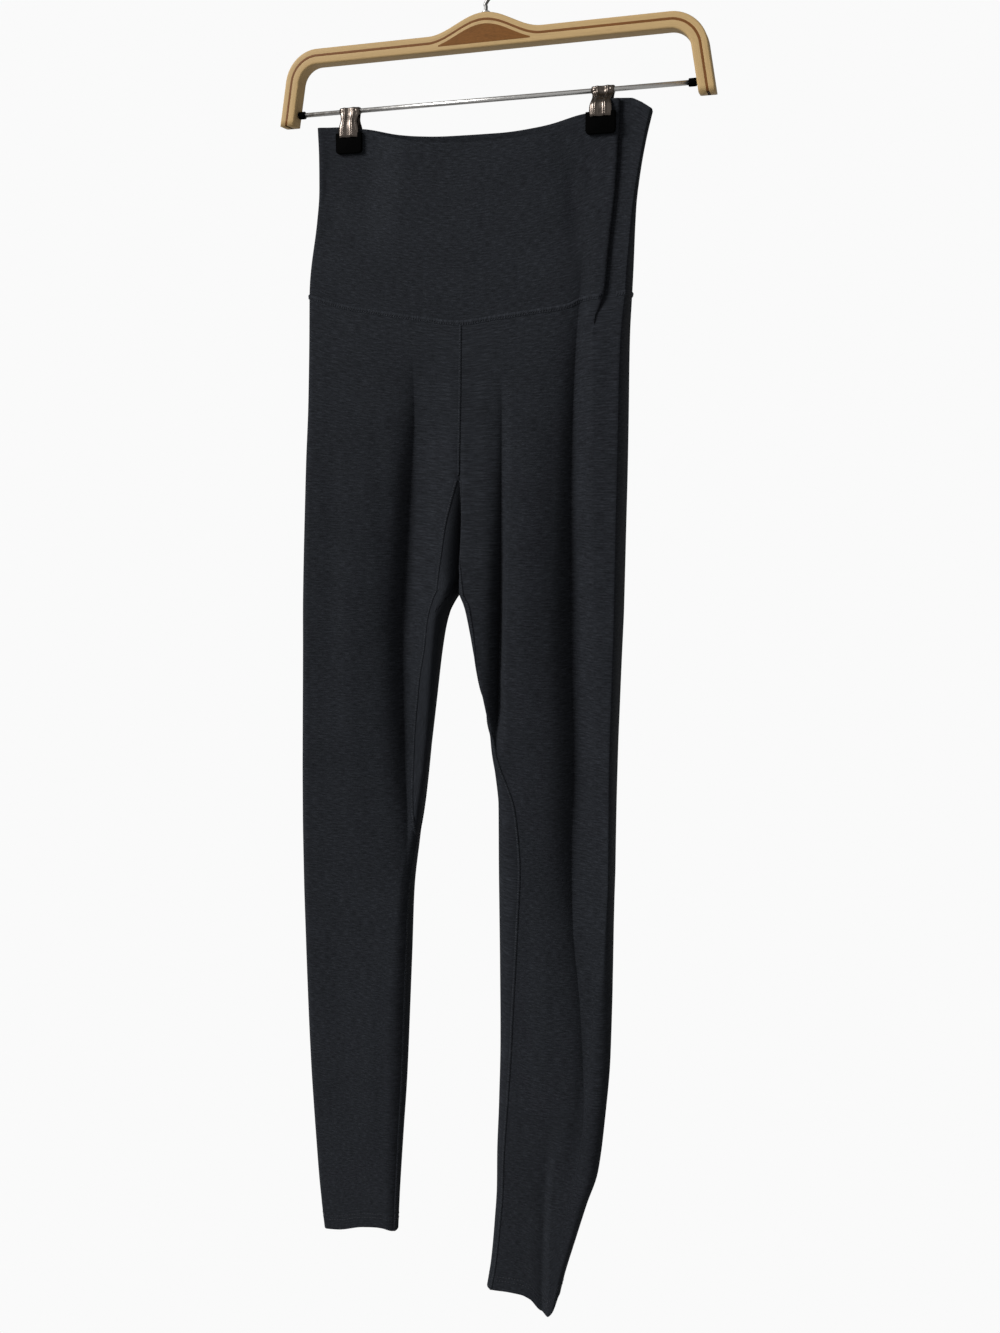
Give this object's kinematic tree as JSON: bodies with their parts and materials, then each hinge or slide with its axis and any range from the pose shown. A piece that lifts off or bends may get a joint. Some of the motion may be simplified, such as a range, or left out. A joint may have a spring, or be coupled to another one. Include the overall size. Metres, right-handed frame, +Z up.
{
  "type": "leggings on a clip hanger",
  "caption": "High-waist leggings with a deep yoke waistband and a long gusset, clipped to the bar of a bentwood hanger.",
  "frame": {"origin": "the inner top of the hook, where it rests on a rail", "axes": "+Z up, +X to the right of the front view, the garment's front faces -Y"},
  "size_m": [0.419, 0.0655, 1.3053],
  "materials": {
    "jersey": "dense matt charcoal jersey, faintly mottled",
    "jersey_seam": "the same jersey, raised in flat seams",
    "beech": "clear-coated bent beech plies",
    "veneer": "brown veneer insert",
    "steel": "bright plated steel",
    "rubber": "matt black"
  },
  "bodies": {
    "root": {"waistband_front": "jersey", "waistband_back": "jersey", "leg_left": "jersey", "leg_right": "jersey", "gusset": "jersey", "yoke_welt_front": "jersey_seam", "yoke_welt_side": "jersey_seam", "yoke_welt_back": "jersey_seam", "centre_front_welt": "jersey_seam", "centre_back_welt": "jersey_seam", "inseam_welt_left": "jersey_seam", "gusset_welt_left": "jersey_seam", "inseam_welt_right": "jersey_seam", "gusset_welt_right": "jersey_seam", "hanger_outer_ply": "beech", "hanger_inner_ply": "beech", "hanger_insert": "veneer", "hook": "steel", "hook_collar": "steel", "bar": "steel", "bar_plug_left": "rubber", "bar_plug_right": "rubber", "clip_left_spring": "steel", "clip_left_front_pad": "rubber", "clip_left_back_pad": "rubber", "clip_right_spring": "steel", "clip_right_front_pad": "rubber", "clip_right_back_pad": "rubber"}
  },
  "joints": []
}
